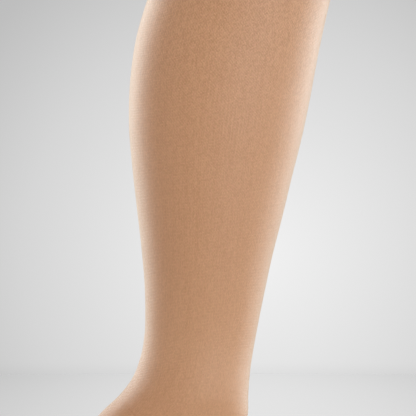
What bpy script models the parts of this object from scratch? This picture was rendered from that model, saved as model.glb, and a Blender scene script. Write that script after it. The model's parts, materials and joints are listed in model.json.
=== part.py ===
"""Knee-high compression stocking with a closed toe, hollow, in the form it is worn in.

Metres, +Z up. The origin is the centre of the top opening, where the band
grips the leg below the knee. +X points to the toes. Both sides are alike, so
the stocking fits a left or a right leg. The heel is raised and the foot
stands on its ball and toes.
"""
from collections import namedtuple
import math

import bmesh
import bpy
import numpy as np

MM = 0.001

# Knitted walls, in mm.
KNIT_WALL = 1.1
BAND_WALL = 1.9
BAND_PROUD = 0.5
SEAM_GAP = 0.3
SEAM_EDGE = 1.0
POINTS_ROUND = 40

# Courses of the knitting, from the top edge to the toes, seen from the side.
# `back` runs down the calf, the heel and the sole, and `front` down the shin,
# the instep and the toes. x is ahead of the ankle joint and z above the
# ground, both in mm, as is `half_breadth`, half the width from side to side.
# A higher `taper` narrows the front side, and a lower `roundness` makes the
# course boxier than an ellipse.
Course = namedtuple(
    "Course", "place back_x back_z front_x front_z half_breadth taper roundness"
)
COURSES = (
    Course("top edge", -11.0, 450.0, 96.5, 420.0, 52.0, 0.04, 1.00),
    Course("band seam", -20.0, 421.0, 89.0, 390.5, 53.0, 0.06, 1.00),
    Course("above calf", -29.0, 391.0, 82.0, 359.5, 54.0, 0.08, 1.00),
    Course("calf", -36.0, 367.0, 78.5, 341.0, 54.5, 0.10, 1.00),
    Course("below calf", -40.0, 340.0, 75.0, 322.5, 54.0, 0.10, 1.00),
    Course("upper leg", -41.0, 311.0, 70.0, 299.0, 52.5, 0.10, 1.00),
    Course("middle leg", -39.0, 284.0, 64.0, 275.5, 49.5, 0.10, 1.00),
    Course("lower leg", -36.0, 257.0, 58.0, 250.5, 46.0, 0.09, 1.00),
    Course("calf end", -33.0, 231.0, 51.5, 225.0, 42.0, 0.07, 1.00),
    Course("above ankle", -31.0, 208.0, 46.5, 202.0, 38.0, 0.04, 1.00),
    Course("upper ankle", -30.5, 188.0, 42.5, 182.0, 34.5, 0.01, 1.00),
    Course("ankle", -31.0, 174.0, 39.5, 166.0, 33.0, -0.02, 1.00),
    Course("tendon", -33.5, 160.0, 37.5, 153.5, 33.5, -0.02, 0.98),
    Course("upper heel", -39.0, 146.0, 36.5, 143.0, 35.0, 0.00, 0.96),
    Course("ankle bone", -47.5, 135.0, 36.0, 134.0, 35.5, 0.00, 0.94),
    Course("heel back", -58.0, 125.0, 36.0, 127.0, 34.5, 0.00, 0.92),
    Course("heel bulge", -68.5, 112.5, 36.0, 120.5, 33.0, -0.02, 0.90),
    Course("heel", -74.0, 97.5, 36.5, 115.5, 32.0, -0.04, 0.90),
    Course("heel pad", -72.0, 83.0, 37.0, 111.5, 32.0, -0.03, 0.90),
    Course("heel curve", -65.5, 73.5, 38.0, 108.5, 32.0, 0.00, 0.90),
    Course("heel sole", -54.0, 66.5, 39.0, 105.5, 32.5, 0.02, 0.90),
    Course("under heel", -33.0, 56.0, 41.0, 101.5, 33.0, 0.06, 0.90),
    Course("arch", -4.0, 41.5, 44.0, 95.0, 33.5, 0.12, 0.90),
    Course("instep", 19.0, 28.5, 50.5, 82.0, 35.5, 0.16, 0.88),
    Course("fore foot", 40.0, 15.0, 63.0, 60.0, 39.5, 0.16, 0.86),
    Course("ball", 59.0, 4.0, 76.5, 38.5, 43.0, 0.12, 0.84),
    Course("toe seam", 79.0, 0.5, 91.0, 28.0, 44.5, 0.08, 0.84),
    Course("toe joints", 97.0, 0.5, 104.0, 23.5, 43.5, 0.06, 0.84),
)

# The toe is rounded from the last course to its tip. A higher power keeps the
# toe's height for longer before it rounds.
TOE_TIP_X = 133.0
TOE_TIP_Z = 9.0
TOE_TIP_RINGS = 7
TOE_TOP_POWER = 2.2
TOE_SOLE_POWER = 5.0

# Creases where the worn tube bends at the ankle, as soft troughs seen from
# the side, in the same mm as the courses. They run alike over both sides.
Crease = namedtuple("Crease", "from_x from_z to_x to_z half_width depth")
CREASES = (
    Crease(-43.0, 128.0, -34.0, 119.5, 3.2, 0.7),
    Crease(37.0, 124.0, 24.0, 119.0, 3.2, 0.9),
    Crease(38.5, 112.0, 21.0, 108.5, 3.4, 1.1),
    Crease(43.0, 99.0, 30.0, 97.0, 3.4, 0.7),
)

# Zones of the tube. `rings` is how many rows of faces the zone's wall has.
Zone = namedtuple("Zone", "name first last rings wall proud material")
ZONES = (
    Zone("top_band", "top edge", "band seam", 4, BAND_WALL, BAND_PROUD, "welt_knit"),
    Zone("leg", "band seam", "ankle", 20, KNIT_WALL, 0.0, "compression_knit"),
    Zone("ankle", "ankle", "ankle bone", 8, KNIT_WALL, 0.0, "compression_knit"),
    Zone("heel", "ankle bone", "under heel", 17, KNIT_WALL, 0.0, "compression_knit"),
    Zone("foot", "under heel", "toe seam", 12, KNIT_WALL, 0.0, "compression_knit"),
    Zone("toe", "toe seam", "toe joints", 3, KNIT_WALL, 0.0, "compression_knit"),
)

# Material name: linear colour, roughness.
KNITS = {
    "compression_knit": ((0.498, 0.270, 0.159, 1.0), 0.72),
    "welt_knit": ((0.452, 0.238, 0.139, 1.0), 0.78),
}

PLACES = [course.place for course in COURSES]
TABLE = np.array([course[1:] for course in COURSES])
TOP_EDGE = Course("top edge", *TABLE[0])
ORIGIN_X = (TOP_EDGE.back_x + TOP_EDGE.front_x) / 2
ORIGIN_Z = (TOP_EDGE.back_z + TOP_EDGE.front_z) / 2


def distances_down():
    """Distance of each course from the top edge, midway between back and front."""
    steps = np.diff(TABLE, axis=0)
    back_steps = np.hypot(steps[:, 0], steps[:, 1])
    front_steps = np.hypot(steps[:, 2], steps[:, 3])
    return np.concatenate(([0.0], np.cumsum((back_steps + front_steps) / 2)))


DOWN = distances_down()
SLOPES = np.gradient(TABLE, DOWN, axis=0)


def course_at(down):
    """The course at a distance down the tube, on a smooth curve through the table."""
    row = int(np.clip(np.searchsorted(DOWN, down) - 1, 0, len(DOWN) - 2))
    span = DOWN[row + 1] - DOWN[row]
    part = (down - DOWN[row]) / span
    start_weight = 2 * part**3 - 3 * part**2 + 1
    start_slope_weight = part**3 - 2 * part**2 + part
    end_slope_weight = part**3 - part**2
    values = (
        start_weight * TABLE[row]
        + (1 - start_weight) * TABLE[row + 1]
        + start_slope_weight * span * SLOPES[row]
        + end_slope_weight * span * SLOPES[row + 1]
    )
    return Course("", *values)


def rounded(forward, power):
    """Height left at a part of the way to a rounded end, from 1 down to 0."""
    return math.sqrt(1.0 - forward**power)


def toe_tip_courses():
    """Courses that shrink round the tips of the toes, as an ellipse seen from above."""
    last = COURSES[-1]
    courses = []
    for ring in range(1, TOE_TIP_RINGS + 1):
        angle = math.radians(90.0 * ring / (TOE_TIP_RINGS + 0.6))
        forward = math.sin(angle)
        top = rounded(forward, TOE_TOP_POWER)
        sole = rounded(forward, TOE_SOLE_POWER)
        courses.append(
            last._replace(
                back_x=last.back_x + (TOE_TIP_X - last.back_x) * forward,
                back_z=TOE_TIP_Z + (last.back_z - TOE_TIP_Z) * sole,
                front_x=last.front_x + (TOE_TIP_X - last.front_x) * forward,
                front_z=TOE_TIP_Z + (last.front_z - TOE_TIP_Z) * top,
                half_breadth=last.half_breadth * math.cos(angle),
            )
        )
    return courses


def crease_depth(x, z):
    """How deep the creases press the wall in at a place seen from the side."""
    depth = 0.0
    for crease in CREASES:
        run_x = crease.to_x - crease.from_x
        run_z = crease.to_z - crease.from_z
        along = (x - crease.from_x) * run_x + (z - crease.from_z) * run_z
        along = min(max(along / (run_x**2 + run_z**2), 0.0), 1.0)
        away = math.hypot(
            x - crease.from_x - along * run_x, z - crease.from_z - along * run_z
        )
        depth += crease.depth * math.exp(-((away / crease.half_width) ** 2))
    return depth


def signed_power(value, power):
    """A power that keeps the sign of its base."""
    return math.copysign(abs(value) ** power, value)


def ring_points(course, proud, shift):
    """Points round one course, moved out by `proud` and down the tube by `shift`, in mm."""
    middle_x = (course.back_x + course.front_x) / 2
    middle_z = (course.back_z + course.front_z) / 2
    reach_x = (course.front_x - course.back_x) / 2
    reach_z = (course.front_z - course.back_z) / 2
    reach = math.hypot(reach_x, reach_z)
    down_x, down_z = reach_z / reach, -reach_x / reach
    points = []
    for index in range(POINTS_ROUND):
        turn = 2 * math.pi * index / POINTS_ROUND
        forward = -signed_power(math.cos(turn), course.roundness)
        aside = signed_power(math.sin(turn), course.roundness)
        aside *= 1.0 - course.taper * forward
        x = middle_x + reach_x * forward
        z = middle_z + reach_z * forward
        y = course.half_breadth * aside
        from_middle = math.hypot(reach * forward, y)
        scale = 1.0 + (proud - crease_depth(x, z)) / from_middle
        points.append(
            (
                middle_x + (x - middle_x) * scale + down_x * shift - ORIGIN_X,
                y * scale,
                middle_z + (z - middle_z) * scale + down_z * shift - ORIGIN_Z,
            )
        )
    return points


def zone_rings(zone):
    """All rings of points of a zone, with half of the seam's gap taken off at each seam."""
    start = DOWN[PLACES.index(zone.first)]
    end = DOWN[PLACES.index(zone.last)]
    inner_rows = np.linspace(start + SEAM_EDGE, end - SEAM_EDGE, zone.rings - 1)
    rings = [ring_points(course_at(down), zone.proud, 0.0) for down in inner_rows]
    first_shift = 0.0 if zone.first == PLACES[0] else SEAM_GAP / 2
    rings.insert(0, ring_points(course_at(start), zone.proud, first_shift))
    if zone.last == PLACES[-1]:
        rings.append(ring_points(course_at(end), zone.proud, 0.0))
        rings += [ring_points(course, zone.proud, 0.0) for course in toe_tip_courses()]
    else:
        rings.append(ring_points(course_at(end), zone.proud, -SEAM_GAP / 2))
    return rings


def knit_material(name):
    """Principled material of one knit."""
    colour, roughness = KNITS[name]
    material = bpy.data.materials.get(name)
    if material is None:
        material = bpy.data.materials.new(name)
        material.use_nodes = True
        shader = material.node_tree.nodes["Principled BSDF"]
        shader.inputs["Base Color"].default_value = colour
        shader.inputs["Roughness"].default_value = roughness
        shader.inputs["Metallic"].default_value = 0.0
    return material


def knit_zone(zone):
    """One zone as an open or closed-toe tube, with its wall's thickness inside."""
    tube = bmesh.new()
    last_edges = None
    for points in zone_rings(zone):
        ring = [tube.verts.new([value * MM for value in point]) for point in points]
        edges = [
            tube.edges.new((ring[index - 1], ring[index])) for index in range(len(ring))
        ]
        if last_edges:
            bmesh.ops.bridge_loops(tube, edges=last_edges + edges)
        last_edges = edges
    if zone.last == PLACES[-1]:
        tip = bmesh.ops.contextual_create(tube, geom=last_edges)["faces"]
        bmesh.ops.poke(tube, faces=tip)
    bmesh.ops.recalc_face_normals(tube, faces=tube.faces)
    mesh = bpy.data.meshes.new(zone.name)
    tube.to_mesh(mesh)
    tube.free()
    mesh.shade_smooth()
    mesh.materials.append(knit_material(zone.material))
    piece = bpy.data.objects.new(zone.name, mesh)
    bpy.context.scene.collection.objects.link(piece)
    wall = piece.modifiers.new("wall", "SOLIDIFY")
    wall.thickness = zone.wall * MM
    wall.offset = -1.0
    wall.use_even_offset = True
    return piece


def main():
    for old in list(bpy.data.objects):
        bpy.data.objects.remove(old, do_unlink=True)
    for zone in ZONES:
        knit_zone(zone)


main()
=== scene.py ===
"""Looks of a knee-high compression stocking, hollow, in the form it is worn in.

One seamless knitted tube makes the leg, the ankle, the heel pocket, the foot
and the toe. A turned welt makes the top band. Threads join the band, close
the toe and run along the heel's gores.
"""

from collections import namedtuple
import functools
import json
import math

import bmesh
import bpy
from mathutils import Matrix, Vector, noise
import numpy as np

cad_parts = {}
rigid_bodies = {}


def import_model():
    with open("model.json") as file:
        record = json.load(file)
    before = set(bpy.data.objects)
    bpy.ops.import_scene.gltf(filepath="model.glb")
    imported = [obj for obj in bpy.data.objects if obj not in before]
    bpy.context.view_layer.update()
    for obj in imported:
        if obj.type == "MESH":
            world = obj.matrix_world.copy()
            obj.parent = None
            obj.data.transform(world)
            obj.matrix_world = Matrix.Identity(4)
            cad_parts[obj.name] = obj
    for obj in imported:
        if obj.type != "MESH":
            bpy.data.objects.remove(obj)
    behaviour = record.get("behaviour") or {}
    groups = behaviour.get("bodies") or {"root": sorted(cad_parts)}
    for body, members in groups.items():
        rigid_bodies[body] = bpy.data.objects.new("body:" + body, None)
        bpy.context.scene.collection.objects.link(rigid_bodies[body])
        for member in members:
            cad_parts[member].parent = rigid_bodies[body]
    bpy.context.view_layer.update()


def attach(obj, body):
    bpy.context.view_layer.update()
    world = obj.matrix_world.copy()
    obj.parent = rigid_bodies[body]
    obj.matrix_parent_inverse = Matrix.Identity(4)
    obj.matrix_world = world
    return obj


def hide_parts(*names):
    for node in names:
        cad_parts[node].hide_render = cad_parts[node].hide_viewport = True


bl_info = {
    "name": "Compression Stocking",
    "version": (1, 0, 0),
    "blender": (4, 5, 0),
    "location": "View3D > Sidebar > Stocking",
    "description": "Makes the knit, the band, the seams and the studio of a stocking",
    "category": "Object",
}

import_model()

MM = 0.001
FULL_TURN = 2 * math.pi
MERGE_WITHIN = 1e-5  # points of a rolled grid this close are one point, in metres

# Courses of the knitting, from the top edge to the toes, seen from the side.
# `back` runs down the calf, the heel and the sole, and `front` down the shin,
# the instep and the toes. x is ahead of the ankle joint and z above the
# ground, both in mm, as is `half_breadth`, half the width from side to side.
# A higher `taper` narrows the front side, and a lower `roundness` makes the
# course boxier than an ellipse.
Course = namedtuple(
    "Course", "place back_x back_z front_x front_z half_breadth taper roundness"
)
COURSES = (
    Course("top edge", -11.0, 450.0, 96.5, 420.0, 52.0, 0.04, 1.00),
    Course("band seam", -20.0, 421.0, 89.0, 390.5, 53.0, 0.06, 1.00),
    Course("above calf", -29.0, 391.0, 82.0, 359.5, 54.0, 0.08, 1.00),
    Course("calf", -36.0, 367.0, 78.5, 341.0, 54.5, 0.10, 1.00),
    Course("below calf", -40.0, 340.0, 75.0, 322.5, 54.0, 0.10, 1.00),
    Course("upper leg", -41.0, 311.0, 70.0, 299.0, 52.5, 0.10, 1.00),
    Course("middle leg", -39.0, 284.0, 64.0, 275.5, 49.5, 0.10, 1.00),
    Course("lower leg", -36.0, 257.0, 58.0, 250.5, 46.0, 0.09, 1.00),
    Course("calf end", -33.0, 231.0, 51.5, 225.0, 42.0, 0.07, 1.00),
    Course("above ankle", -31.0, 208.0, 46.5, 202.0, 38.0, 0.04, 1.00),
    Course("upper ankle", -30.5, 188.0, 42.5, 182.0, 34.5, 0.01, 1.00),
    Course("ankle", -31.0, 174.0, 39.5, 166.0, 33.0, -0.02, 1.00),
    Course("tendon", -33.5, 160.0, 37.5, 153.5, 33.5, -0.02, 0.98),
    Course("upper heel", -39.0, 146.0, 36.5, 143.0, 35.0, 0.00, 0.96),
    Course("ankle bone", -47.5, 135.0, 36.0, 134.0, 35.5, 0.00, 0.94),
    Course("heel back", -58.0, 125.0, 36.0, 127.0, 34.5, 0.00, 0.92),
    Course("heel bulge", -68.5, 112.5, 36.0, 120.5, 33.0, -0.02, 0.90),
    Course("heel", -74.0, 97.5, 36.5, 115.5, 32.0, -0.04, 0.90),
    Course("heel pad", -72.0, 83.0, 37.0, 111.5, 32.0, -0.03, 0.90),
    Course("heel curve", -65.5, 73.5, 38.0, 108.5, 32.0, 0.00, 0.90),
    Course("heel sole", -54.0, 66.5, 39.0, 105.5, 32.5, 0.02, 0.90),
    Course("under heel", -33.0, 56.0, 41.0, 101.5, 33.0, 0.06, 0.90),
    Course("arch", -4.0, 41.5, 44.0, 95.0, 33.5, 0.12, 0.90),
    Course("instep", 19.0, 28.5, 50.5, 82.0, 35.5, 0.16, 0.88),
    Course("fore foot", 40.0, 15.0, 63.0, 60.0, 39.5, 0.16, 0.86),
    Course("ball", 59.0, 4.0, 76.5, 38.5, 43.0, 0.12, 0.84),
    Course("toe seam", 79.0, 0.5, 91.0, 28.0, 44.5, 0.08, 0.84),
    Course("toe joints", 97.0, 0.5, 104.0, 23.5, 43.5, 0.06, 0.84),
)

# The toe is rounded from the last course to its tip. A higher power keeps the
# toe's height for longer before it rounds.
TOE_TIP_X = 133.0
TOE_TIP_Z = 9.0
TOE_TIP_LENGTH = 45.0
TOE_TOP_POWER = 2.2
TOE_SOLE_POWER = 5.0

# Creases where the worn tube bends at the ankle, as soft troughs seen from
# the side, in the same mm as the courses. `near` and `far` say how strong one
# is on the side towards -Y and on the other.
Crease = namedtuple("Crease", "from_x from_z to_x to_z half_width depth near far")
CREASES = (
    Crease(-43.0, 129.5, -33.0, 120.0, 2.2, 0.4, 1.0, 0.8),
    Crease(37.0, 119.5, 24.0, 116.0, 3.2, 0.9, 1.0, 1.1),
    Crease(38.5, 110.0, 21.0, 106.5, 3.4, 1.1, 1.0, 0.9),
    Crease(43.0, 99.0, 30.0, 97.0, 3.4, 0.7, 1.0, 1.2),
    Crease(27.0, 137.5, 24.5, 135.5, 1.8, 0.16, 1.0, 0.3),
    Crease(-30.0, 118.0, -22.0, 114.0, 3.0, 0.3, 1.0, 0.6),
    Crease(-26.0, 70.0, -8.0, 66.0, 5.0, 0.25, 0.8, 1.0),
    Crease(30.0, 88.0, 18.0, 84.0, 4.0, 0.25, 0.9, 1.0),
)
CREASE_REACH = 3.0  # in half widths, from a crease's middle to where it has faded out
CREASE_UNEVEN = 0.35  # share of its depth that a crease gains or loses on its way
CREASE_WAVE = 9.0  # how far apart it does so, in mm
SLACK = 0.07  # how far the stretched cloth strays from its form, in mm
SLACK_WAVE = 24.0

# One fine fold at the heel, pressed into the knit on both sides, with painted shade
# along it.
Fold = namedtuple("Fold", "from_x from_z to_x to_z half_width")
HEEL_FOLD = Fold(-43.4, 131.1, -29.4, 117.6, 0.8)
FOLD_WHOLE = 0.2  # share of its length, to each side of its middle, before it fades
FOLD_FADED = 0.5
FOLD_DARK = -0.3  # what it adds to the knit's light
FOLD_DEPTH = 1.0  # in stitch heights

# The heel pocket has shade painted into the knit's colour, where the hollow beside the
# tendon lies in shade: all of it as far as `whole` from its middle course and as
# `whole_turn` from the back, and none past `faded`. It has less fuzz, so its bright
# edge is narrower.
Pocket = namedtuple("Pocket", "place whole faded whole_turn faded_turn darker")
HEEL_POCKET = Pocket("heel", 31.0, 68.0, 72.0, 106.0, -0.24)
SHEEN_WIDTH = 0.34  # of all other knit, from 0 to 1
HEEL_SHEEN_CHANGE = -0.05

# A line of threads round a part of the tube, by course and turn in degrees.
Seam = namedtuple(
    "Seam", "first_place first_off first_turn last_place last_off last_turn"
)
HEEL_GORE = Seam("heel", 4.0, 115.0, "heel curve", -2.0, 23.0)

# How a value changes: where it starts and ends to do so, and what it is before and
# after. These four lie along the tube, in shares of its length.
Change = namedtuple("Change", "start end before after")
# Painted light: the lit share rises from the lower leg on.
LIT_YARN = Change(0.32, 0.48, 0.42, 0.57)  # share of the yarn that is lit
TWILL = Change(0.04, 0.36, 0.12, 0.03)  # how strong the twill is
LEG_CONTRAST = Change(0.05, 0.18, 0.63, 0.4)  # how unlike two legs of yarn are
CAP_SHEEN = Change(0.78, 0.87, 1.0, 0.3)  # the toe cap's denser knit is more matte

# Soft spots in the knit: their size in mm, how many times longer they are along the
# wales, and how strong.
Spots = namedtuple("Spots", "size stretch strength")
RIB_PLACES = Spots(34.0, 1.5, 0.42)
RIB_HIDDEN = -0.22  # what the rib loses everywhere, so that it shows only in places
# How uneven the yarn is. The second row makes the hairlines along the wales.
YARN_UNEVEN = (
    Spots(2.6, 1.4, 0.2),
    Spots(0.8, 60.0, 0.45),
    Spots(28.0, 1.5, 0.08),
    Spots(0.3, 1.8, 0.5),
)
GRAIN_DETAIL = 2.0
GRAIN_ROUGHNESS = 0.6

# One stitch is a loop with two legs of yarn.
STITCH_SLANT = 1.1  # how far a leg slants up to the middle of its wale, in courses
STITCH_LIT = 0.4  # how much lighter its crest is than its edges
STITCH_HEIGHT = 0.12  # in mm
STITCH_RELIEF = 0.45  # how strongly its height shows
LOOP_START = 0.25  # how far before its course is counted a loop begins, in courses
LEG_PROUD = 0.2  # how much one leg stands above the next, in stitch heights
LEG_TINT = 0.034  # how much the colour differs from one leg to the next

# The ply of the sewing thread.
PLY = Spots(0.5, 1.0, 0.3)
PLY_SHADE = 0.82
PLY_HEIGHT = 0.1  # in mm

PLACES = [course.place for course in COURSES]
TABLE = np.array([course[1:] for course in COURSES])
TOP_EDGE = COURSES[0]
ORIGIN = Vector(
    (
        (TOP_EDGE.back_x + TOP_EDGE.front_x) / 2,
        0.0,
        (TOP_EDGE.back_z + TOP_EDGE.front_z) / 2,
    )
)
GROUND = -ORIGIN.z


def distances_down():
    """Distance of each course from the top edge, midway between back and front."""
    steps = np.diff(TABLE, axis=0)
    back_steps = np.hypot(steps[:, 0], steps[:, 1])
    front_steps = np.hypot(steps[:, 2], steps[:, 3])
    return np.concatenate(([0.0], np.cumsum((back_steps + front_steps) / 2)))


DOWN = distances_down()
SLOPES = np.gradient(TABLE, DOWN, axis=0)
TUBE_LENGTH = DOWN[-1] + TOE_TIP_LENGTH
TUBE_RADIUS = 46.0  # of a straight tube as wide as the leg is on average
LIMB_RADIUS = 40.0  # a rough one, for small steps round the leg and noise across it
BAND_DEPTH = DOWN[PLACES.index("band seam")]


def linear_colour(code):
    """Linear RGBA of an sRGB colour written as #rrggbb."""
    channels = [int(code[at : at + 2], 16) / 255 for at in (1, 3, 5)]
    return [
        value / 12.92 if value <= 0.04045 else ((value + 0.055) / 1.055) ** 2.4
        for value in channels
    ] + [1.0]


def down_at(place, off=0.0):
    """Distance down the tube of a named course, moved by `off`, in mm."""
    return DOWN[PLACES.index(place)] + off


@functools.lru_cache(maxsize=None)
def course_at(down):
    """The course at a distance down the tube, on a smooth curve to the toe's tip."""
    if down > DOWN[-1]:
        return toe_tip_course((down - DOWN[-1]) / TOE_TIP_LENGTH)
    row = int(np.clip(np.searchsorted(DOWN, down) - 1, 0, len(DOWN) - 2))
    span = DOWN[row + 1] - DOWN[row]
    part = (down - DOWN[row]) / span
    start_weight = 2 * part**3 - 3 * part**2 + 1
    start_slope_weight = part**3 - 2 * part**2 + part
    end_slope_weight = part**3 - part**2
    values = (
        start_weight * TABLE[row]
        + (1 - start_weight) * TABLE[row + 1]
        + start_slope_weight * span * SLOPES[row]
        + end_slope_weight * span * SLOPES[row + 1]
    )
    return Course("", *(float(value) for value in values))


def toe_tip_course(part):
    """A course round the tips of the toes, where the tube shrinks to a point."""
    last = COURSES[-1]
    angle = math.radians(90.0 * min(part, 1.0))
    forward = math.sin(angle)
    top = math.sqrt(max(1.0 - forward**TOE_TOP_POWER, 0.0))
    sole = math.sqrt(max(1.0 - forward**TOE_SOLE_POWER, 0.0))
    return last._replace(
        back_x=last.back_x + (TOE_TIP_X - last.back_x) * forward,
        back_z=TOE_TIP_Z + (last.back_z - TOE_TIP_Z) * sole,
        front_x=last.front_x + (TOE_TIP_X - last.front_x) * forward,
        front_z=TOE_TIP_Z + (last.front_z - TOE_TIP_Z) * top,
        half_breadth=last.half_breadth * math.cos(angle),
    )


def crease_depth(x, z, aside):
    """How deep the creases press the cloth in at a place seen from the side."""
    depth = 0.0
    for crease in CREASES:
        run_x = crease.to_x - crease.from_x
        run_z = crease.to_z - crease.from_z
        along = (x - crease.from_x) * run_x + (z - crease.from_z) * run_z
        along = min(max(along / (run_x**2 + run_z**2), 0.0), 1.0)
        away = math.hypot(
            x - crease.from_x - along * run_x, z - crease.from_z - along * run_z
        )
        if away < CREASE_REACH * crease.half_width:
            share = (crease.near + crease.far + (crease.far - crease.near) * aside) / 2
            press = math.exp(-((away / crease.half_width) ** 2))
            depth += crease.depth * share * press
    if depth:
        spot = Vector((x, LIMB_RADIUS * aside, z))
        depth *= 1 + CREASE_UNEVEN * noise.noise(spot / CREASE_WAVE)
    return depth


def signed_power(value, power):
    """A power that keeps the sign of its base."""
    return math.copysign(abs(value) ** power, value)


def cloth_point(down, turn, proud=0.0):
    """A point on the stocking, in mm from the origin, and `proud` of the cloth.

    `turn` goes once round from the back of the leg, over the +Y side to the shin.
    """
    course = course_at(down)
    back = Vector((course.back_x, 0.0, course.back_z))
    front = Vector((course.front_x, 0.0, course.front_z))
    middle = (back + front) / 2
    reach = (front - back) / 2
    forward = -signed_power(math.cos(turn), course.roundness)
    aside = signed_power(math.sin(turn), course.roundness)
    arm = reach * forward
    arm.y = course.half_breadth * aside * (1.0 - course.taper * forward)
    place = middle + arm
    slack = SLACK * noise.noise(place / SLACK_WAVE)
    press = crease_depth(place.x, place.z, aside)
    out = proud + slack - press
    return middle + arm * (1.0 + out / max(arm.length, 1.0)) - ORIGIN


def cloth_axes(down, turn):
    """Unit vectors at a point of the cloth: round the leg, down the leg and out."""
    step = 0.5  # in mm
    here = cloth_point(down, turn)
    around = (cloth_point(down, turn + step / LIMB_RADIUS) - here).normalized()
    along = (cloth_point(down + step, turn) - here).normalized()
    out = along.cross(around).normalized()
    if out.dot(cloth_point(down, turn, step) - here) < 0:
        out.negate()
    return around, along, out


def object_from(mesh_data, name, material):
    """An object at the origin from a mesh and its material, riding on the frame."""
    mesh = bpy.data.meshes.new(name)
    mesh_data.to_mesh(mesh)
    mesh_data.free()
    mesh.shade_smooth()
    mesh.materials.append(material)
    piece = bpy.data.objects.new(name, mesh)
    bpy.context.scene.collection.objects.link(piece)
    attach(piece, "root")
    return piece


def rolled_grid(around, along, place):
    """A flat grid with its UV map, rolled up: place(u, v) gives each point in mm."""
    cloth = bmesh.new()
    cloth.loops.layers.uv.new("knit")
    bmesh.ops.create_grid(
        cloth, x_segments=around, y_segments=along, size=0.5, calc_uvs=True
    )
    # Rounded, v is the same all round a course, whose shape is then worked out once.
    for vert in cloth.verts:
        vert.co = place(round(vert.co.x + 0.5, 6), round(vert.co.y + 0.5, 6)) * MM
    bmesh.ops.remove_doubles(cloth, verts=cloth.verts, dist=MERGE_WITHIN)
    bmesh.ops.recalc_face_normals(cloth, faces=cloth.faces)
    return cloth


def add_stitch(threads, start, end, out, thickness):
    """One stitch, a capsule of a few faces between two points on the cloth, in mm."""
    run = end - start
    side = out.cross(run).normalized()
    turn = Matrix((side, run.normalized(), side.cross(run).normalized())).transposed()
    size = Matrix.Diagonal((thickness / 2, run.length / 2, thickness / 2))
    place = Matrix.Translation((start + end) / 2 * MM) @ (turn @ size * MM).to_4x4()
    bmesh.ops.create_icosphere(threads, subdivisions=1, radius=1.0, matrix=place)


def add_node(tree, kind, place, values=(), **settings):
    """Adds a shader node with its settings, values and links.

    `values` are for its first sockets in order, or a dict names their sockets.
    A node among them stands for its first output.
    """
    node = tree.nodes.new("ShaderNode" + kind)
    node.location = place
    for name, value in settings.items():
        setattr(node, name, value)
    sockets = values if isinstance(values, dict) else dict(enumerate(values))
    for socket, value in sockets.items():
        if isinstance(value, bpy.types.Node):
            value = value.outputs[0]
        if isinstance(value, bpy.types.NodeSocket):
            tree.links.new(value, node.inputs[socket])
        else:
            node.inputs[socket].default_value = value
    return node


# A Map Range node's setting for a change that starts and ends softly.
SOFTLY = {"interpolation_type": "SMOOTHSTEP"}

# The sockets of a Mix node for two colours, and the one that gives their mix.
FIRST_COLOUR = 6
SECOND_COLOUR = 7
MIXED_COLOUR = 2


def empty_material(name):
    """A new material with only its shader and output, and its tree."""
    material = bpy.data.materials.new(name)
    material.use_nodes = True
    return material, material.node_tree, material.node_tree.nodes["Principled BSDF"]


def object_space(tree, place):
    """The place on a piece, in mm."""
    coords = add_node(tree, "TexCoord", place)
    return add_node(
        tree,
        "VectorMath",
        (place[0] + 200, place[1]),
        {"Vector": coords.outputs["Object"], "Scale": 1.0 / MM},
        operation="SCALE",
    )


def knit_space(tree, place, around, along, length):
    """The place on the cloth as on a straight tube in mm, so grain follows the knit."""
    x, y = place
    angle = add_node(tree, "Math", place, (around, FULL_TURN), operation="MULTIPLY")
    cosine = add_node(tree, "Math", (x + 200, y + 100), [angle], operation="COSINE")
    sine = add_node(tree, "Math", (x + 200, y), [angle], operation="SINE")
    factors = ((cosine, TUBE_RADIUS), (sine, TUBE_RADIUS), (along, length))
    axes = [
        add_node(
            tree, "Math", (x + 400, y + 100 - 100 * row), pair, operation="MULTIPLY"
        )
        for row, pair in enumerate(factors)
    ]
    return add_node(tree, "CombineXYZ", (x + 600, y), axes)


def grain(tree, place, space, spots):
    """Noise in soft spots, from 0 to 1."""
    scale = (1.0 / spots.size, 1.0 / spots.size, 1.0 / spots.size / spots.stretch)
    mapping = add_node(
        tree, "Mapping", (place[0] - 200, place[1]), {"Vector": space, "Scale": scale}
    )
    values = {
        "Vector": mapping,
        "Scale": 1.0,
        "Detail": GRAIN_DETAIL,
        "Roughness": GRAIN_ROUGHNESS,
    }
    return add_node(tree, "TexNoise", place, values)


def heel_pocket(tree, place, around, along, length):
    """How much of a place is in the heel pocket, from 0 to 1: there shade is painted and
    the sheen is narrower.
    """
    x, y = place
    pocket = HEEL_POCKET
    middle = 1.0 - (TUBE_LENGTH - down_at(pocket.place)) / length
    off = add_node(tree, "Math", place, (along, middle), operation="SUBTRACT")
    away = add_node(tree, "Math", (x + 200, y), [off], operation="ABSOLUTE")
    fade = Change(pocket.whole / length, pocket.faded / length, 1.0, 0.0)
    near = add_node(tree, "MapRange", (x + 400, y), (away, *fade), **SOFTLY)
    turn = add_node(
        tree, "Math", (x + 200, y - 300), (around, 0.5), operation="PINGPONG"
    )
    fade = Change(pocket.whole_turn / 360.0, pocket.faded_turn / 360.0, 1.0, 0.0)
    behind = add_node(tree, "MapRange", (x + 400, y - 300), (turn, *fade), **SOFTLY)
    return add_node(tree, "Math", (x + 600, y), (near, behind), operation="MULTIPLY")


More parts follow.
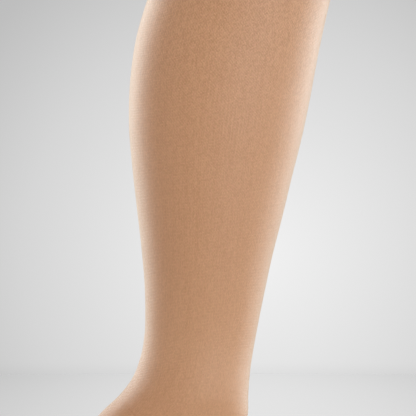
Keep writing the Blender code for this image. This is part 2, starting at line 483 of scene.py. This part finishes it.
def heel_fold(tree, place):
    """How deep a place is in the heel's fine fold, from 0 to 1."""
    fold = HEEL_FOLD
    start = Vector((fold.from_x, 0.0, fold.from_z)) - ORIGIN
    run = Vector((fold.to_x - fold.from_x, 0.0, fold.to_z - fold.from_z))
    middle = start + run / 2
    lengthwise = run.normalized()
    crosswise = Vector((run.z, 0.0, -run.x)).normalized()
    whole, faded = run.length * FOLD_WHOLE, run.length * FOLD_FADED
    fades = (
        (lengthwise, Change(whole, faded, 1.0, 0.0)),
        (crosswise, Change(0.0, fold.half_width, 1.0, 0.0)),
    )
    space = object_space(tree, place)
    parts = []
    for row, (way, fade) in enumerate(fades):
        x, y = place[0] + 400, place[1] - 300 * row
        reach = add_node(
            tree, "VectorMath", (x, y), (space, way), operation="DOT_PRODUCT"
        )
        ends = (reach.outputs["Value"], middle.dot(way))
        off = add_node(tree, "Math", (x + 200, y), ends, operation="SUBTRACT")
        away = add_node(tree, "Math", (x + 400, y), [off], operation="ABSOLUTE")
        parts.append(add_node(tree, "MapRange", (x + 600, y), (away, *fade), **SOFTLY))
    return add_node(
        tree, "Math", (place[0] + 1200, place[1]), parts, operation="MULTIPLY"
    )


# Wales and courses counted up over the cloth, the courses as the legs of yarn slant,
# and how high the yarn stands.
Stitches = namedtuple("Stitches", "wale course slanted height")


def stitch_waves(tree, around, along, knit):
    """The V stitches of a knit."""
    courses = float(round(knit.length / knit.pitch))
    wale = add_node(
        tree, "Math", (-1400, 100), (around, knit.wales), operation="MULTIPLY"
    )
    course = add_node(
        tree, "Math", (-1400, -100), (along, courses), operation="MULTIPLY"
    )
    # Each wale holds two legs of yarn, which slant up to its middle.
    across = add_node(tree, "Math", (-1200, 100), (wale, 0.5), operation="PINGPONG")
    leg_turn = add_node(
        tree, "Math", (-1000, 100), (across, FULL_TURN), operation="MULTIPLY"
    )
    leg = add_node(tree, "Math", (-800, 100), [leg_turn], operation="SINE")
    slanted = add_node(
        tree,
        "Math",
        (-1000, -100),
        (across, STITCH_SLANT, course),
        operation="MULTIPLY_ADD",
    )
    loop_turn = add_node(
        tree, "Math", (-800, -100), (slanted, FULL_TURN), operation="MULTIPLY"
    )
    loop_wave = add_node(tree, "Math", (-600, -100), [loop_turn], operation="SINE")
    loop = add_node(
        tree, "Math", (-400, -100), (loop_wave, 0.5, 0.5), operation="MULTIPLY_ADD"
    )
    height = add_node(tree, "Math", (-200, 0), (leg, loop), operation="MULTIPLY")
    return Stitches(wale, course, slanted, height)


def rib_and_twill(tree, stitches, along, space, light):
    """The knit's light with a faint rib and a faint twill in it."""
    # Every second wale holds the elastic thread, which shows as a rib in places.
    rib_turn = add_node(
        tree, "Math", (-1000, 300), (stitches.wale, math.pi), operation="MULTIPLY"
    )
    rib = add_node(tree, "Math", (-800, 300), [rib_turn], operation="SINE")
    places = grain(tree, (-800, 600), space, RIB_PLACES)
    shown = add_node(
        tree,
        "Math",
        (-600, 500),
        (places, RIB_PLACES.strength, RIB_HIDDEN),
        operation="MULTIPLY_ADD",
    )
    shown = add_node(tree, "Math", (-400, 500), (shown, 0.0), operation="MAXIMUM")
    light = add_node(
        tree, "Math", (-200, 300), (rib, shown, light), operation="MULTIPLY_ADD"
    )
    # It moves on by a wale each course, which makes the twill on the calf.
    both = add_node(
        tree, "Math", (-1200, 300), (stitches.wale, stitches.course), operation="ADD"
    )
    twill_turn = add_node(
        tree, "Math", (-1000, 400), (both, math.pi), operation="MULTIPLY"
    )
    twill = add_node(tree, "Math", (-800, 400), [twill_turn], operation="SINE")
    on_calf = add_node(tree, "MapRange", (-600, 700), (along, *TWILL))
    return add_node(
        tree, "Math", (-100, 400), (twill, on_calf, light), operation="MULTIPLY_ADD"
    )


def leg_noise(tree, stitches):
    """A value and a colour for each leg of a loop, as each takes light its own way."""
    legs = add_node(
        tree, "Math", (-1200, -300), (stitches.wale, 2.0), operation="MULTIPLY"
    )
    loops = add_node(
        tree, "Math", (-1200, -400), (stitches.slanted, LOOP_START), operation="ADD"
    )
    cell = (
        add_node(tree, "Math", (-1000, -300), [legs], operation="FLOOR"),
        add_node(tree, "Math", (-1000, -400), [loops], operation="FLOOR"),
    )
    where = add_node(tree, "CombineXYZ", (-900, -300), cell)
    return add_node(
        tree, "TexWhiteNoise", (-700, -300), {"Vector": where}, noise_dimensions="2D"
    )


# A knit: the colours of its yarn, its columns round the tube, the height of a row and
# the length that it covers, both in mm, and how its face takes the light.
Knit = namedtuple("Knit", "yarn shade wales pitch length rough sheen has_heel")


def knit_material(name, knit):
    """Elastic knit. Fine V stitches give a dense matte face with a soft bright edge."""
    material, tree, shader = empty_material(name)
    uv = add_node(tree, "UVMap", (-1800, 0), uv_map="knit")
    split = add_node(tree, "SeparateXYZ", (-1600, 0), [uv])
    around, along = split.outputs[0], split.outputs[1]
    stitches = stitch_waves(tree, around, along, knit)
    # From the lower leg on, painted light makes the knit lighter: more of its lit yarn
    # shows.
    lit = add_node(tree, "MapRange", (-500, 200), (along, *LIT_YARN), **SOFTLY)
    light = add_node(
        tree,
        "Math",
        (-300, 0),
        (stitches.height, STITCH_LIT, lit),
        operation="MULTIPLY_ADD",
    )
    space = knit_space(tree, (-1400, -600), around, along, knit.length)
    light = rib_and_twill(tree, stitches, along, space, light)
    # Yarn is a little uneven, from one stitch to the next and over a few mm.
    for row, spots in enumerate(YARN_UNEVEN):
        y = -700 - 300 * row
        spot = grain(tree, (-600, y), space, spots)
        off = add_node(tree, "Math", (-300, y), (spot, 0.5), operation="SUBTRACT")
        light = add_node(
            tree,
            "Math",
            (-100, y),
            (off, spots.strength, light),
            operation="MULTIPLY_ADD",
        )
    # It is stretched most at the top of the calf, where its stitches show more.
    leg = leg_noise(tree, stitches)
    contrast = add_node(tree, "MapRange", (-300, -400), (along, *LEG_CONTRAST))
    off = add_node(tree, "Math", (-300, -300), (leg, 0.5), operation="SUBTRACT")
    light = add_node(
        tree, "Math", (200, -200), (off, contrast, light), operation="MULTIPLY_ADD"
    )
    height = add_node(
        tree,
        "Math",
        (400, -500),
        (leg, LEG_PROUD, stitches.height),
        operation="MULTIPLY_ADD",
    )
    if knit.has_heel:
        pocket = heel_pocket(tree, (-1400, 1200), around, along, knit.length)
        # Painted shade darkens the knit over the heel pocket.
        light = add_node(
            tree,
            "Math",
            (250, -100),
            (pocket, HEEL_POCKET.darker, light),
            operation="MULTIPLY_ADD",
        )
        fold = heel_fold(tree, (-1400, 1800))
        # Painted shade along the fold.
        light = add_node(
            tree, "Math", (300, -100), (fold, FOLD_DARK, light), operation="MULTIPLY_ADD"
        )
        height = add_node(
            tree,
            "Math",
            (450, -500),
            (fold, -FOLD_DEPTH, height),
            operation="MULTIPLY_ADD",
        )
        matte = add_node(tree, "MapRange", (600, -800), (along, *CAP_SHEEN), **SOFTLY)
        tree.links.new(matte.outputs[0], shader.inputs["Sheen Weight"])
        narrower = add_node(
            tree,
            "Math",
            (600, -1100),
            (pocket, HEEL_SHEEN_CHANGE, SHEEN_WIDTH),
            operation="MULTIPLY_ADD",
        )
        tree.links.new(narrower.outputs[0], shader.inputs["Sheen Roughness"])
    # The lit share holds painted light and shade: over the heel pocket, along the fold,
    # from the lower leg on, and between the stitches.
    colour = add_node(
        tree,
        "Mix",
        (400, -100),
        {"Factor": light, FIRST_COLOUR: knit.shade, SECOND_COLOUR: knit.yarn},
        data_type="RGBA",
    )
    tint = add_node(
        tree,
        "Mix",
        (600, -100),
        {
            "Factor": LEG_TINT,
            FIRST_COLOUR: colour.outputs[MIXED_COLOUR],
            SECOND_COLOUR: leg.outputs["Color"],
        },
        data_type="RGBA",
        blend_type="OVERLAY",
    )
    tree.links.new(tint.outputs[MIXED_COLOUR], shader.inputs["Base Color"])
    relief = add_node(
        tree,
        "Bump",
        (600, -500),
        {"Height": height, "Strength": STITCH_RELIEF, "Distance": STITCH_HEIGHT * MM},
    )
    tree.links.new(relief.outputs[0], shader.inputs["Normal"])
    shader.inputs["Roughness"].default_value = knit.rough
    shader.inputs["Specular IOR Level"].default_value = 0.7
    shader.inputs["Sheen Weight"].default_value = knit.sheen
    shader.inputs["Sheen Roughness"].default_value = SHEEN_WIDTH
    shader.inputs["Sheen Tint"].default_value = linear_colour("#fff6e4")
    return material


def thread_material(name, colour):
    """Spun sewing thread. Its ply gives small slanting lights."""
    material, tree, shader = empty_material(name)
    ply = grain(tree, (-600, 0), object_space(tree, (-1200, 0)), PLY)
    shade = [channel * PLY_SHADE for channel in colour[:3]] + [1.0]
    mix = add_node(
        tree,
        "Mix",
        (-200, 0),
        {"Factor": ply, FIRST_COLOUR: shade, SECOND_COLOUR: colour},
        data_type="RGBA",
    )
    tree.links.new(mix.outputs[MIXED_COLOUR], shader.inputs["Base Color"])
    relief = add_node(
        tree,
        "Bump",
        (-200, -300),
        {"Height": ply, "Strength": PLY.strength, "Distance": PLY_HEIGHT * MM},
    )
    tree.links.new(relief.outputs[0], shader.inputs["Normal"])
    shader.inputs["Roughness"].default_value = 0.6
    shader.inputs["Sheen Weight"].default_value = 0.2
    return material


def needed_material(name, make, *values):
    """The named material, made the first time that it is asked for."""
    return bpy.data.materials.get(name) or make(name, *values)


def length_setting(name, description, default, precision=4):
    """A length in metres, for the side panel."""
    return bpy.props.FloatProperty(
        name=name,
        description=description,
        default=default,
        unit="LENGTH",
        precision=precision,
    )


def colour_setting(name, description, code):
    """A colour for the side panel, written as #rrggbb."""
    return bpy.props.FloatVectorProperty(
        name=name,
        description=description,
        subtype="COLOR",
        size=4,
        min=0.0,
        max=1.0,
        default=linear_colour(code),
    )


class StockingSizes(bpy.types.PropertyGroup):
    """Sizes of the knit and its seams."""

    wall: length_setting(
        "Cloth Thickness", "Thickness of the stretched knit", 0.8 * MM
    )
    band_wall: length_setting(
        "Band Thickness", "Thickness of the turned band, which is two layers", 1.9 * MM
    )
    band_proud: length_setting(
        "Band Stands Proud", "How far it stands out from the tube below it", 0.5 * MM
    )
    ribs: bpy.props.IntProperty(
        name="Band Ribs", description="Fine ribs round the band", default=104
    )
    # Wales and courses are drawn coarser than real ones, so that they show.
    wales: bpy.props.IntProperty(
        name="Wales",
        description="Columns of stitches round the leg, coarser than the real 400",
        default=300,
    )
    course_pitch: length_setting(
        "Course Pitch",
        "Height of one row of stitches, coarser than the real 0.5 to 0.6 mm",
        0.95 * MM,
        5,
    )
    thread: length_setting("Thread", "Thickness of the sewing thread", 0.45 * MM, 5)


class StockingColours(bpy.types.PropertyGroup):
    """Colours of the yarn and the threads."""

    yarn: colour_setting("Yarn", "The lit face of the knit's yarn", "#c7936a")
    yarn_shade: colour_setting("Yarn Shade", "Yarn between the stitches", "#ab7348")
    band_yarn: colour_setting("Band Yarn", "The lit face of the band's yarn", "#c08d67")
    thread: colour_setting("Thread", "Thread of the band and the toe", "#d4a884")


class StudioSettings(bpy.types.PropertyGroup):
    """The floor, the camera and the light."""

    camera_distance: length_setting(
        "Camera Distance", "From the camera to the middle of the leg", 2.0
    )
    view_width: length_setting(
        "View Width", "How much the camera sees from side to side", 268.3 * MM
    )
    floor_radius: length_setting(
        "Floor Radius", "From the middle of the round floor to its edge", 2.8
    )
    backdrop: colour_setting(
        "Backdrop", "The backdrop where the light on it is brightest", "#f2f2f2"
    )
    floor: colour_setting("Floor", "Colour of the matte floor", "#e6e6e6")


class STOCKING_OT_knitted_tube(bpy.types.Operator):
    """Makes the leg, the ankle, the heel, the foot and the toe as one knitted tube"""

    bl_idname = "stocking.knitted_tube"
    bl_label = "Knitted Tube"

    ROUND = 140
    ROWS = 318
    TUCK = 3.0  # how far the tube runs up inside the band, in mm

    def execute(self, context):
        sizes = context.scene.stocking_sizes
        start = BAND_DEPTH - self.TUCK
        length = TUBE_LENGTH - start

        def place(u, v):
            return cloth_point(start + length * v, FULL_TURN * u)

        cloth = rolled_grid(self.ROUND, self.ROWS, place)
        material = compression_knit(context)
        piece = object_from(cloth, "knitted_tube", material)
        wall = piece.modifiers.new("wall", "SOLIDIFY")
        wall.thickness = sizes.wall
        wall.offset = -1.0
        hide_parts("leg", "ankle", "heel", "foot", "toe")
        return {"FINISHED"}


def compression_knit(context):
    """The tube's knit, with as many courses as its length holds."""
    sizes = context.scene.stocking_sizes
    colours = context.scene.stocking_colours
    knit = Knit(
        yarn=list(colours.yarn),
        shade=list(colours.yarn_shade),
        wales=float(sizes.wales),
        pitch=sizes.course_pitch / MM,
        length=TUBE_LENGTH - BAND_DEPTH,
        rough=0.5,
        sheen=CAP_SHEEN.before,
        has_heel=True,
    )
    return needed_material("stretched_knit", knit_material, knit)


class STOCKING_OT_turned_welt(bpy.types.Operator):
    """Makes the ribbed top band, turned over so that its upper edge is a fold"""

    bl_idname = "stocking.turned_welt"
    bl_label = "Turned Welt"

    ROWS = 92
    POINTS_A_RIB = 6
    WALES_A_RIB = 3
    FOLD = 1.6  # how far down from the folds the ribs fade in, in mm
    RIB_DEPTH = 0.2  # in mm

    def execute(self, context):
        sizes = context.scene.stocking_sizes
        colours = context.scene.stocking_colours
        half = sizes.band_wall / MM / 2
        middle = sizes.band_proud / MM - half
        straight = BAND_DEPTH - 2 * half
        bend = math.pi * half

        def section(v):
            """Distance down and out on the band's section, which is a long loop."""
            run = (v * 2 * (straight + bend) + bend / 2) % (2 * (straight + bend))
            if run < bend:
                turn = math.pi * run / bend
                return half - half * math.sin(turn), -half * math.cos(turn)
            run -= bend
            if run < straight:
                return half + run, half
            run -= straight
            if run < bend:
                turn = math.pi * run / bend
                return half + straight + half * math.sin(turn), half * math.cos(turn)
            return half + straight - (run - bend), -half

        def place(u, v):
            down, out = section(v)
            rib = math.cos(FULL_TURN * u * sizes.ribs)
            fade = min(1.0, min(down, BAND_DEPTH - down) / self.FOLD)
            out *= 1.0 - self.RIB_DEPTH / half * (1.0 - rib) / 2 * fade
            return cloth_point(max(down, 0.0), FULL_TURN * u, middle + out)

        cloth = rolled_grid(sizes.ribs * self.POINTS_A_RIB, self.ROWS, place)
        knit = Knit(
            yarn=list(colours.band_yarn),
            shade=list(colours.yarn_shade),
            wales=float(sizes.ribs * self.WALES_A_RIB),
            pitch=sizes.course_pitch / MM,
            length=2 * BAND_DEPTH,
            rough=0.55,
            sheen=0.9,
            has_heel=False,
        )
        material = needed_material("ribbed_knit", knit_material, knit)
        piece = object_from(cloth, "turned_welt", material)
        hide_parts("top_band")
        return {"FINISHED"}


class STOCKING_OT_band_stitches(bpy.types.Operator):
    """Makes the zigzag of thread that joins the band to the leg of the stocking"""

    bl_idname = "stocking.band_stitches"
    bl_label = "Band Stitches"

    COUNT = 132
    LOW = 0.5  # where the zigzag turns above the seam, in mm
    HIGH = 2.2
    PROUD = 0.62

    def execute(self, context):
        thickness = context.scene.stocking_sizes.thread / MM
        threads = bmesh.new()
        for index in range(self.COUNT):
            first = FULL_TURN * index / self.COUNT
            last = FULL_TURN * (index + 1) / self.COUNT
            rises = (self.HIGH, self.LOW) if index % 2 else (self.LOW, self.HIGH)
            start = cloth_point(BAND_DEPTH - rises[0], first, self.PROUD)
            end = cloth_point(BAND_DEPTH - rises[1], last, self.PROUD)
            out = cloth_axes(BAND_DEPTH, (first + last) / 2)[2]
            add_stitch(threads, start, end, out, thickness)
        piece = object_from(threads, "band_stitches", thread_finish(context))
        return {"FINISHED"}


class STOCKING_OT_toe_seam(bpy.types.Operator):
    """Makes the linked seam that closes the toe, across the top of the toes"""

    bl_idname = "stocking.toe_seam"
    bl_label = "Toe Seam"

    FROM_TURN = 74.0  # from the sole's middle to the seam's end, in degrees
    SIDES = 12
    STEPS = 150
    RIDGE = 0.55  # half the height of the ridge, in mm
    BREADTH = 1.3  # of the ridge, in its heights
    PROUD = 0.1  # how far its middle lies above the cloth
    END = 12  # it grows from nearly nothing over one part in this many
    THINNEST = 0.02
    COUNT = 62
    ON_TOP = 0.05  # how far the stitches lie above the ridge
    LEAN_ALONG = 0.9  # half a stitch, down the foot and across it, in mm
    LEAN_AROUND = 0.45

    def execute(self, context):
        down = down_at("toe seam")
        first = math.radians(self.FROM_TURN)
        sweep = FULL_TURN - 2 * first

        def place(u, v):
            turn = first + sweep * v
            along, out = cloth_axes(down, turn)[1:]
            share = min(1.0, self.END * min(v, 1 - v))
            size = self.RIDGE * max(share, self.THINNEST)
            angle = FULL_TURN * u
            offset = along * math.cos(angle) * self.BREADTH + out * math.sin(angle)
            return cloth_point(down, turn, self.PROUD) + offset * size

        ridge = rolled_grid(self.SIDES, self.STEPS, place)
        seam = object_from(ridge, "toe_seam", compression_knit(context))

        thickness = context.scene.stocking_sizes.thread / MM
        threads = bmesh.new()
        for index in range(self.COUNT):
            turn = first + sweep * (index + 0.5) / self.COUNT
            around, along, out = cloth_axes(down, turn)
            top = cloth_point(down, turn, self.RIDGE + self.ON_TOP)
            lean = along * self.LEAN_ALONG + around * self.LEAN_AROUND
            add_stitch(threads, top - lean, top + lean, out, thickness)
        stitches = object_from(threads, "toe_stitches", thread_finish(context))
        return {"FINISHED"}


class STOCKING_OT_heel_gores(bpy.types.Operator):
    """Makes the lines of linked loops where the heel was turned, on both sides"""

    bl_idname = "stocking.heel_gores"
    bl_label = "Heel Gores"

    COUNT = 46
    PROUD = 0.08
    LEAN_AROUND = 0.62  # half a loop, round the heel and down it, in mm
    LEAN_ALONG = 0.6

    def execute(self, context):
        first_down = down_at(HEEL_GORE.first_place, HEEL_GORE.first_off)
        last_down = down_at(HEEL_GORE.last_place, HEEL_GORE.last_off)
        thickness = context.scene.stocking_sizes.thread / MM
        threads = bmesh.new()
        for side in (-1.0, 1.0):
            for index in range(self.COUNT):
                part = (index + 0.5) / self.COUNT
                down = first_down + (last_down - first_down) * part
                degrees = (
                    HEEL_GORE.first_turn
                    + (HEEL_GORE.last_turn - HEEL_GORE.first_turn) * part
                )
                turn = side * math.radians(degrees)
                around, along, out = cloth_axes(down, turn)
                middle = cloth_point(down, turn, self.PROUD)
                rise = self.LEAN_ALONG if index % 2 else -self.LEAN_ALONG
                lean = around * self.LEAN_AROUND + along * rise
                add_stitch(threads, middle - lean, middle + lean, out, thickness)
        piece = object_from(threads, "heel_gores", thread_finish(context))
        return {"FINISHED"}


def thread_finish(context):
    """The sewing thread's material."""
    colour = list(context.scene.stocking_colours.thread)
    return needed_material("sewing_thread", thread_material, colour)


class STOCKING_OT_studio(bpy.types.Operator):
    """Makes the floor, the backdrop's light, the lamps and the camera"""

    bl_idname = "stocking.studio"
    bl_label = "Studio"

    VIEW_X = -32.75  # the middle of the camera's view, in mm
    VIEW_Z = -179.0
    GLOW = Vector((0.0142, 1.0, -0.0142))  # where the backdrop is brightest
    # How bright the studio's wall is at each angle from there.
    Tone = namedtuple("Tone", "degrees share")
    TONES = (
        Tone(0.0, 1.0),
        Tone(2.22, 0.878),
        Tone(4.43, 0.744),
        Tone(5.5, 0.652),
        Tone(6.6, 0.56),
        Tone(9.0, 0.60),
        Tone(35.0, 0.90),
    )
    LINE_START = -0.0490  # slope of the look where the wall darkens to the floor
    LINE_END = -0.0548
    LINE_DARK = 0.94
    # The floor is plain, and ends in a long pool of light at the foot of the wall.
    # The pool and the shade beside it are painted into the floor's colour.
    PLAIN = 1.15  # share of the floor's colour
    POOL = Vector((0.02, 1.9, 0.0))  # its middle, in metres
    POOL_SHAPE = Vector((1.0, 0.15, 0.0))  # how fast it fades to the sides and along
    POOL_REACH = 0.66
    POOL_LIGHT = 1.23
    POOL_DARK = 0.74
    POOL_START = 0.9  # how far behind the stocking it fades in
    POOL_FULL = 1.7
    POOL_SIDE = 0.45  # how far to each side it starts to fade out
    POOL_END = 0.95

    FLOOR_POINTS = 256  # round its edge
    FLOOR_GAP = 0.4  # from the lowest cloth to the floor, in mm
    SENSOR = 36.0  # in mm
    FARTHEST = 20.0  # that the camera sees, in metres

    # The lamps' places and sizes are in metres, and they all point at one place.
    AIM = Vector((0.0, 0.0, -0.2))
    Lamp = namedtuple("Lamp", "name place width height spread watts colour")
    LAMPS = (
        Lamp(
            "front_softbox",
            (1.65, -1.75, 0.0),
            width=1.4,
            height=1.1,
            spread=180.0,
            watts=24.3,
            colour=(0.8, 0.925, 1.01),
        ),
        Lamp(
            "left_rim_softbox",
            (-1.2, 1.2, 0.12),
            width=0.8,
            height=1.5,
            spread=100.0,
            watts=6.5,
            colour=(0.93, 0.98, 0.97),
        ),
        Lamp(
            "heel_softbox",
            (-0.6, 1.6, 0.9),
            width=0.5,
            height=0.5,
            spread=120.0,
            watts=2.5,
            colour=(1.0, 0.98, 0.95),
        ),
        Lamp(
            "right_rim_softbox",
            (1.39, 0.97, -0.15),
            width=0.8,
            height=0.65,
            spread=100.0,
            watts=5.25,
            colour=(0.81, 0.95, 1.0),
        ),
    )

    def execute(self, context):
        # The lamps light the stocking alone, and the wall lights the floor too.
        stocking = bpy.data.collections.new("lit_by_lamps")
        for piece in context.scene.objects:
            if piece.type == "MESH":
                stocking.objects.link(piece)
        self.make_floor(context)
        self.make_backdrop_light(context)
        for lamp in self.LAMPS:
            holder = self.make_lamp(context, lamp)
            holder.light_linking.receiver_collection = stocking
        self.make_camera(context)
        context.scene.view_settings.view_transform = "Standard"
        return {"FINISHED"}

    def make_floor(self, context):
        studio = context.scene.stocking_studio
        disc = bmesh.new()
        bmesh.ops.create_circle(
            disc, cap_ends=True, segments=self.FLOOR_POINTS, radius=studio.floor_radius
        )
        place = Vector((0.0, 0.0, (GROUND - self.FLOOR_GAP) * MM))
        bmesh.ops.translate(disc, verts=disc.verts, vec=place)
        mesh = bpy.data.meshes.new("floor")
        disc.to_mesh(mesh)
        disc.free()
        mesh.materials.append(self.floor_material(studio))
        floor = bpy.data.objects.new("floor", mesh)
        context.scene.collection.objects.link(floor)

    def floor_material(self, studio):
        """A matte floor of plain grey, with a soft pool of light painted behind, and
        painted shade beside the pool.
        """
        material, tree, shader = empty_material("matte_floor")
        coords = add_node(tree, "TexCoord", (-1200, 0))
        here = coords.outputs["Object"]
        away = add_node(
            tree, "VectorMath", (-1000, 0), (here, self.POOL), operation="SUBTRACT"
        )
        shaped = add_node(
            tree, "VectorMath", (-800, 0), (away, self.POOL_SHAPE), operation="MULTIPLY"
        )
        length = add_node(tree, "VectorMath", (-600, 0), [shaped], operation="LENGTH")
        # The pool of light and the shade beside it are painted into the colour.
        fade = Change(0.0, self.POOL_REACH, self.POOL_LIGHT, self.POOL_DARK)
        values = (length.outputs["Value"], *fade)
        pool = add_node(tree, "MapRange", (-400, 0), values, **SOFTLY)
        split = add_node(tree, "SeparateXYZ", (-1000, -300), [here])
        rise = Change(self.POOL_START, self.POOL_FULL, 0.0, 1.0)
        values = (split.outputs["Y"], *rise)
        at_wall = add_node(tree, "MapRange", (-400, -300), values, **SOFTLY)
        aside = add_node(
            tree, "Math", (-800, -600), [split.outputs["X"]], operation="ABSOLUTE"
        )
        fade = Change(self.POOL_SIDE, self.POOL_END, 1.0, 0.0)
        in_middle = add_node(tree, "MapRange", (-400, -600), (aside, *fade), **SOFTLY)
        there = add_node(
            tree, "Math", (-350, -300), (at_wall, in_middle), operation="MULTIPLY"
        )
        above = add_node(
            tree, "Math", (-300, 0), (pool, self.PLAIN), operation="SUBTRACT"
        )
        share = add_node(
            tree, "Math", (-250, 0), (above, there, self.PLAIN), operation="MULTIPLY_ADD"
        )
        grey = list(studio.floor)[:3]
        colour = add_node(
            tree,
            "VectorMath",
            (-200, 0),
            {"Vector": grey, "Scale": share},
            operation="SCALE",
        )
        tree.links.new(colour.outputs[0], shader.inputs["Base Color"])
        shader.inputs["Roughness"].default_value = 0.9
        shader.inputs["Specular IOR Level"].default_value = 0.0
        return material

    def make_backdrop_light(self, context):
        world = bpy.data.worlds.new("studio")
        context.scene.world = world
        world.use_nodes = True
        tree = world.node_tree
        coords = add_node(tree, "TexCoord", (-1200, 0))
        look = coords.outputs["Generated"]
        way = self.GLOW.normalized()
        dot = add_node(
            tree, "VectorMath", (-1000, 0), (look, way), operation="DOT_PRODUCT"
        )
        angle = add_node(
            tree, "Math", (-800, 0), [dot.outputs["Value"]], operation="ARCCOSINE"
        )
        turn = add_node(tree, "Math", (-700, 0), (angle, math.pi), operation="DIVIDE")
        glow = add_node(tree, "ValToRGB", (-600, 0), [turn])
        stops = glow.color_ramp.elements
        stops.remove(stops[1])
        for tone in self.TONES:
            # The ramp comes with a stop at its start.
            stop = stops.new(tone.degrees / 180.0) if tone.degrees else stops[0]
            stop.color = [tone.share] * 3 + [1.0]
        split = add_node(tree, "SeparateXYZ", (-1000, -300), [look])
        line = Change(self.LINE_END, self.LINE_START, self.LINE_DARK, 1.0)
        values = (split.outputs["Z"], *line)
        above = add_node(tree, "MapRange", (-600, -300), values, **SOFTLY)
        share = add_node(tree, "Math", (-400, 0), (glow, above), operation="MULTIPLY")
        grey = list(context.scene.stocking_studio.backdrop)[:3]
        colour = add_node(
            tree,
            "VectorMath",
            (-200, 0),
            {"Vector": grey, "Scale": share},
            operation="SCALE",
        )
        tree.links.new(colour.outputs[0], tree.nodes["Background"].inputs["Color"])

    def make_lamp(self, context, lamp):
        light = bpy.data.lights.new(lamp.name, "AREA")
        light.shape = "RECTANGLE"
        light.size = lamp.width
        light.size_y = lamp.height
        light.spread = math.radians(lamp.spread)
        light.energy = lamp.watts
        light.color = lamp.colour
        holder = bpy.data.objects.new(lamp.name, light)
        holder.location = lamp.place
        aim = self.AIM - holder.location
        holder.rotation_euler = aim.to_track_quat("-Z", "Y").to_euler()
        holder.visible_camera = False
        context.scene.collection.objects.link(holder)
        return holder

    def make_camera(self, context):
        studio = context.scene.stocking_studio
        lens = bpy.data.cameras.new("camera")
        lens.sensor_width = self.SENSOR
        lens.lens = self.SENSOR * studio.camera_distance / studio.view_width
        lens.clip_end = self.FARTHEST
        camera = bpy.data.objects.new("camera", lens)
        camera.location = (
            self.VIEW_X * MM,
            -studio.camera_distance,
            self.VIEW_Z * MM,
        )
        camera.rotation_euler = (math.radians(90.0), 0.0, 0.0)
        context.scene.collection.objects.link(camera)
        context.scene.camera = camera


class STOCKING_PT_sidebar(bpy.types.Panel):
    """Sizes, colours and steps of the stocking"""

    bl_idname = "STOCKING_PT_sidebar"
    bl_label = "Compression Stocking"
    bl_space_type = "VIEW_3D"
    bl_region_type = "UI"
    bl_category = "Stocking"

    def draw(self, context):
        scene = context.scene
        for group in (
            scene.stocking_sizes,
            scene.stocking_colours,
            scene.stocking_studio,
        ):
            box = self.layout.box()
            for name in group.bl_rna.properties.keys():
                if name not in ("rna_type", "name"):
                    box.prop(group, name)
        for step in STEPS:
            self.layout.operator(step.bl_idname)


GROUPS = {
    "stocking_sizes": StockingSizes,
    "stocking_colours": StockingColours,
    "stocking_studio": StudioSettings,
}
STEPS = (
    STOCKING_OT_knitted_tube,
    STOCKING_OT_turned_welt,
    STOCKING_OT_band_stitches,
    STOCKING_OT_toe_seam,
    STOCKING_OT_heel_gores,
    STOCKING_OT_studio,
)


def register():
    for name, group in GROUPS.items():
        bpy.utils.register_class(group)
        setattr(bpy.types.Scene, name, bpy.props.PointerProperty(type=group))
    for step in STEPS:
        bpy.utils.register_class(step)
    bpy.utils.register_class(STOCKING_PT_sidebar)


def unregister():
    bpy.utils.unregister_class(STOCKING_PT_sidebar)
    for step in reversed(STEPS):
        bpy.utils.unregister_class(step)
    for name, group in GROUPS.items():
        delattr(bpy.types.Scene, name)
        bpy.utils.unregister_class(group)


def main():
    register()
    bpy.ops.stocking.knitted_tube()
    bpy.ops.stocking.turned_welt()
    bpy.ops.stocking.band_stitches()
    bpy.ops.stocking.toe_seam()
    bpy.ops.stocking.heel_gores()
    bpy.ops.stocking.studio()


if __name__ == "__main__":
    main()
